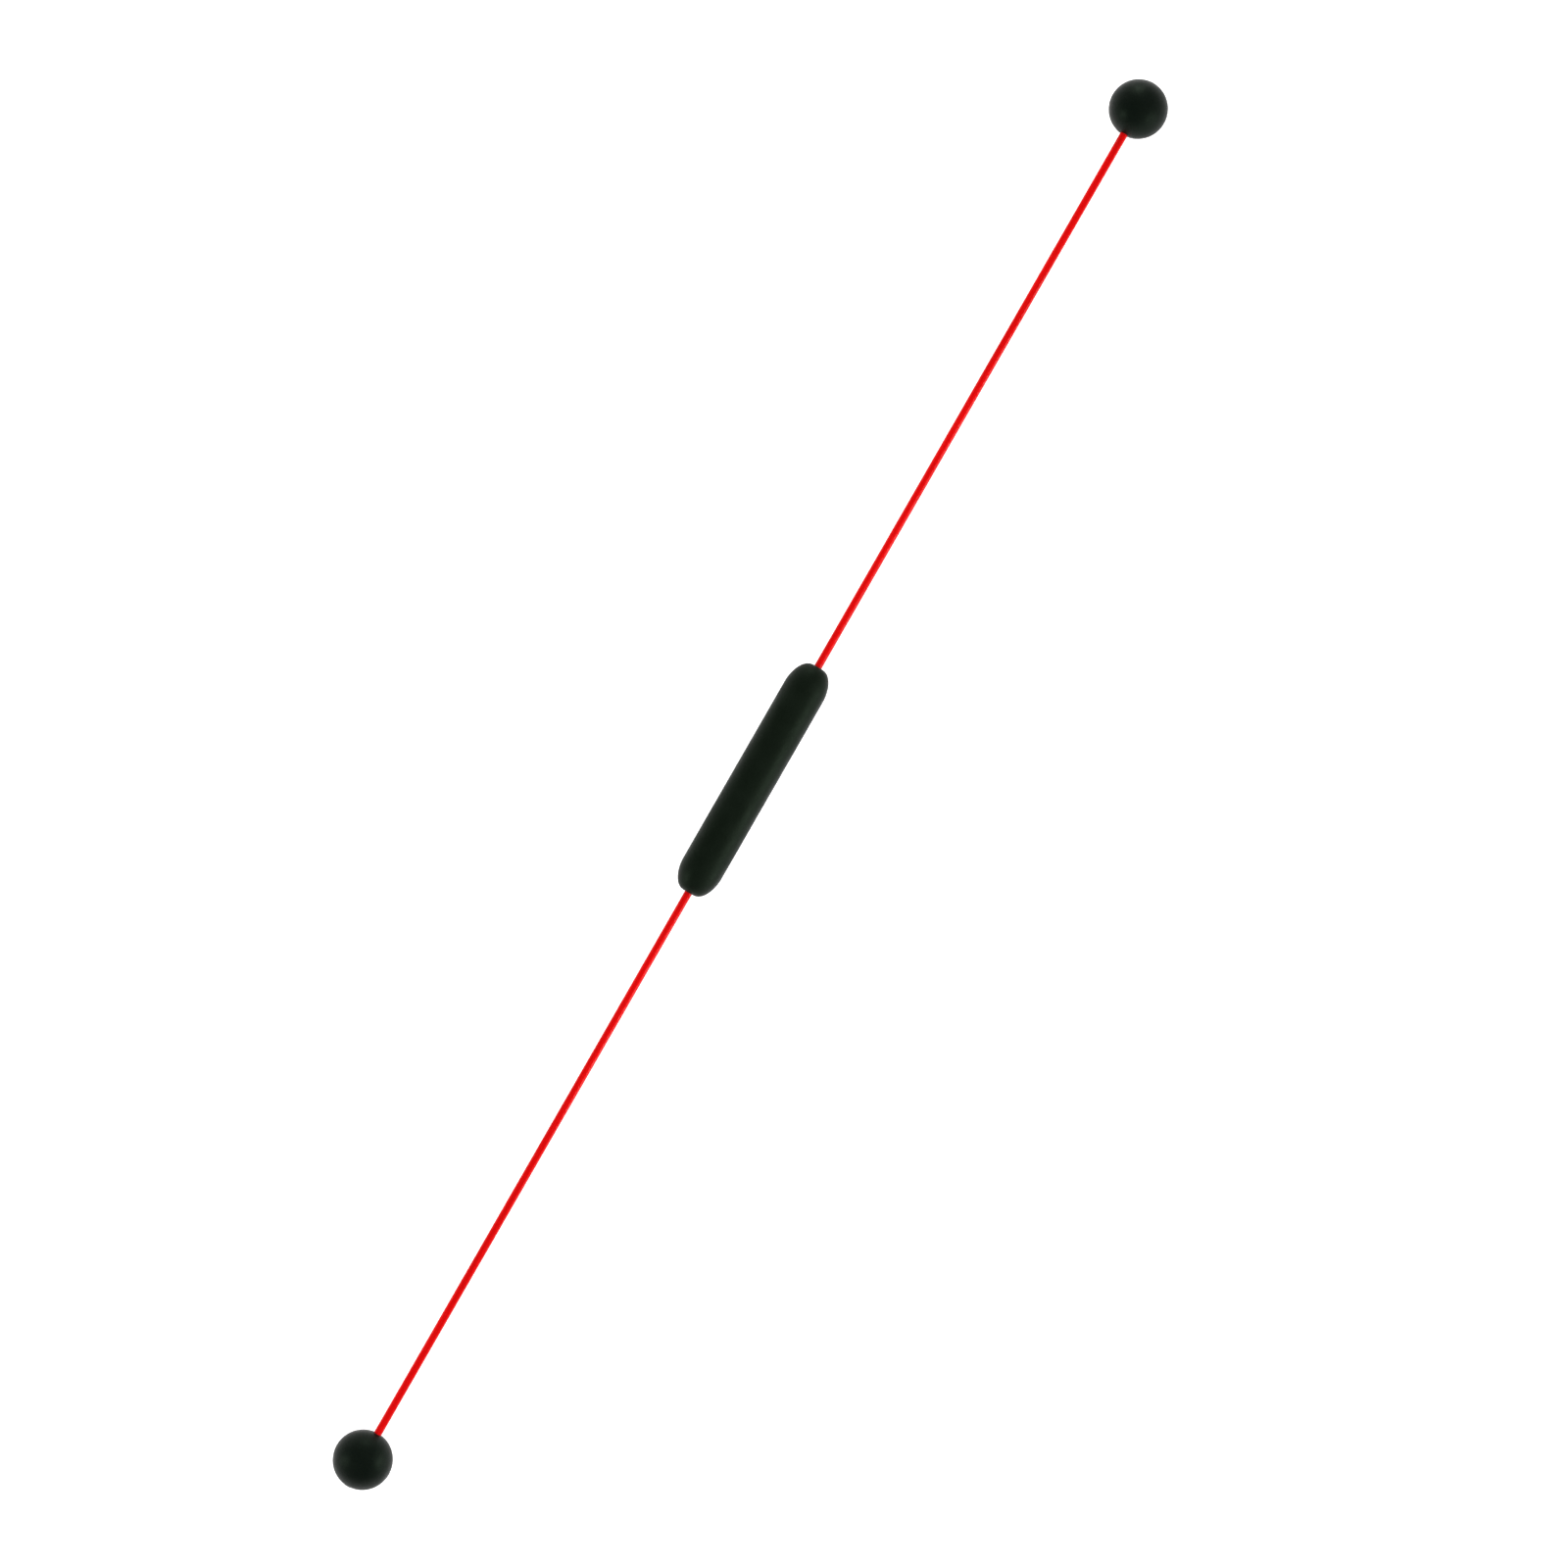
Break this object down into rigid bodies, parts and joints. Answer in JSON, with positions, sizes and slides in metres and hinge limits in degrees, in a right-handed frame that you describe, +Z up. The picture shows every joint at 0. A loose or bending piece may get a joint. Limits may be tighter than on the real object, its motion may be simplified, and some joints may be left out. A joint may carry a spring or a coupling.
{
  "type": "swing trainer stick",
  "caption": "Flexing swing trainer stick: a thin springy rod with a rubber grip round its middle and a rubber ball at each end.",
  "frame": {"origin": "on the surface that the balls stand on, straight below the middle of the grip", "axes": "+X along the stick towards the right ball, +Z up, +Y across the stick in the plane that the rod flexes in"},
  "size_m": [1.6, 0.059, 0.059],
  "materials": {
    "rod_lacquer": "gloss",
    "grip_rubber": "satin",
    "ball_rubber": "satin",
    "core_plastic": "matte",
    "bush_rubber": "matte",
    "collar_aluminium": "satin",
    "steel": "satin"
  },
  "bodies": {
    "grip": {"grip_sleeve": "grip_rubber", "grip_core_upper": "core_plastic", "grip_core_lower": "core_plastic", "grip_core_screw_1": "steel", "grip_core_screw_2": "steel", "grip_core_screw_3": "steel", "grip_core_screw_4": "steel", "centre_collar": "collar_aluminium", "collar_set_screw_1": "steel", "collar_set_screw_2": "steel", "mouth_bush_right": "bush_rubber", "mouth_bush_left": "bush_rubber", "rod_centre": "rod_lacquer"},
    "right_rod_1": {"rod_right_1": "rod_lacquer"},
    "right_rod_2": {"rod_right_2": "rod_lacquer"},
    "right_rod_3": {"rod_right_3": "rod_lacquer"},
    "right_rod_4": {"rod_right_4": "rod_lacquer"},
    "right_rod_5": {"rod_right_5": "rod_lacquer"},
    "right_ball": {"rod_right_6": "rod_lacquer", "ball_right": "ball_rubber", "ball_core_right": "core_plastic", "rod_ferrule_right": "steel", "ferrule_pin_right": "steel"},
    "left_rod_1": {"rod_left_1": "rod_lacquer"},
    "left_rod_2": {"rod_left_2": "rod_lacquer"},
    "left_rod_3": {"rod_left_3": "rod_lacquer"},
    "left_rod_4": {"rod_left_4": "rod_lacquer"},
    "left_rod_5": {"rod_left_5": "rod_lacquer"},
    "left_ball": {"rod_left_6": "rod_lacquer", "ball_left": "ball_rubber", "ball_core_left": "core_plastic", "rod_ferrule_left": "steel", "ferrule_pin_left": "steel"}
  },
  "joints": [
    {"name": "right_half_flex", "type": "hinge", "parent": "grip", "child": "right_rod_1", "pos_m": [0.15583, 0, 0.0295], "axis": [0, 0, 1], "range_deg": [-4.5, 4.5], "stiffness_Nm_per_rad": 143.8},
    {"name": "right_bend_2", "type": "hinge", "parent": "right_rod_1", "child": "right_rod_2", "pos_m": [0.21451, 0, 0.0295], "axis": [0, 0, 1], "range_deg": [-4.51, 4.51], "stiffness_Nm_per_rad": 130},
    {"name": "right_bend_3", "type": "hinge", "parent": "right_rod_2", "child": "right_rod_3", "pos_m": [0.28016, 0, 0.0295], "axis": [0, 0, 1], "range_deg": [-4.51, 4.51], "stiffness_Nm_per_rad": 114.5},
    {"name": "right_bend_4", "type": "hinge", "parent": "right_rod_3", "child": "right_rod_4", "pos_m": [0.35609, 0, 0.0295], "axis": [0, 0, 1], "range_deg": [-4.51, 4.51], "stiffness_Nm_per_rad": 96.5},
    {"name": "right_bend_5", "type": "hinge", "parent": "right_rod_4", "child": "right_rod_5", "pos_m": [0.4495, 0, 0.0295], "axis": [0, 0, 1], "range_deg": [-4.51, 4.51], "stiffness_Nm_per_rad": 74.1},
    {"name": "right_bend_6", "type": "hinge", "parent": "right_rod_5", "child": "right_ball", "pos_m": [0.58517, 0, 0.0295], "axis": [0, 0, 1], "range_deg": [-4.51, 4.51], "stiffness_Nm_per_rad": 34.6},
    {"name": "left_half_flex", "type": "hinge", "parent": "grip", "child": "left_rod_1", "pos_m": [-0.15583, 0, 0.0295], "axis": [0, 0, -1], "range_deg": [-4.5, 4.5], "stiffness_Nm_per_rad": 143.8},
    {"name": "left_bend_2", "type": "hinge", "parent": "left_rod_1", "child": "left_rod_2", "pos_m": [-0.21451, 0, 0.0295], "axis": [0, 0, -1], "range_deg": [-4.51, 4.51], "stiffness_Nm_per_rad": 130},
    {"name": "left_bend_3", "type": "hinge", "parent": "left_rod_2", "child": "left_rod_3", "pos_m": [-0.28016, 0, 0.0295], "axis": [0, 0, -1], "range_deg": [-4.51, 4.51], "stiffness_Nm_per_rad": 114.5},
    {"name": "left_bend_4", "type": "hinge", "parent": "left_rod_3", "child": "left_rod_4", "pos_m": [-0.35609, 0, 0.0295], "axis": [0, 0, -1], "range_deg": [-4.51, 4.51], "stiffness_Nm_per_rad": 96.5},
    {"name": "left_bend_5", "type": "hinge", "parent": "left_rod_4", "child": "left_rod_5", "pos_m": [-0.4495, 0, 0.0295], "axis": [0, 0, -1], "range_deg": [-4.51, 4.51], "stiffness_Nm_per_rad": 74.1},
    {"name": "left_bend_6", "type": "hinge", "parent": "left_rod_5", "child": "left_ball", "pos_m": [-0.58517, 0, 0.0295], "axis": [0, 0, -1], "range_deg": [-4.51, 4.51], "stiffness_Nm_per_rad": 34.6}
  ],
  "couplings": [
    {"joint": "right_bend_2", "follows": "right_half_flex", "ratio": 1},
    {"joint": "right_bend_3", "follows": "right_half_flex", "ratio": 1},
    {"joint": "right_bend_4", "follows": "right_half_flex", "ratio": 1},
    {"joint": "right_bend_5", "follows": "right_half_flex", "ratio": 1},
    {"joint": "right_bend_6", "follows": "right_half_flex", "ratio": 1},
    {"joint": "left_bend_2", "follows": "left_half_flex", "ratio": 1},
    {"joint": "left_bend_3", "follows": "left_half_flex", "ratio": 1},
    {"joint": "left_bend_4", "follows": "left_half_flex", "ratio": 1},
    {"joint": "left_bend_5", "follows": "left_half_flex", "ratio": 1},
    {"joint": "left_bend_6", "follows": "left_half_flex", "ratio": 1}
  ]
}
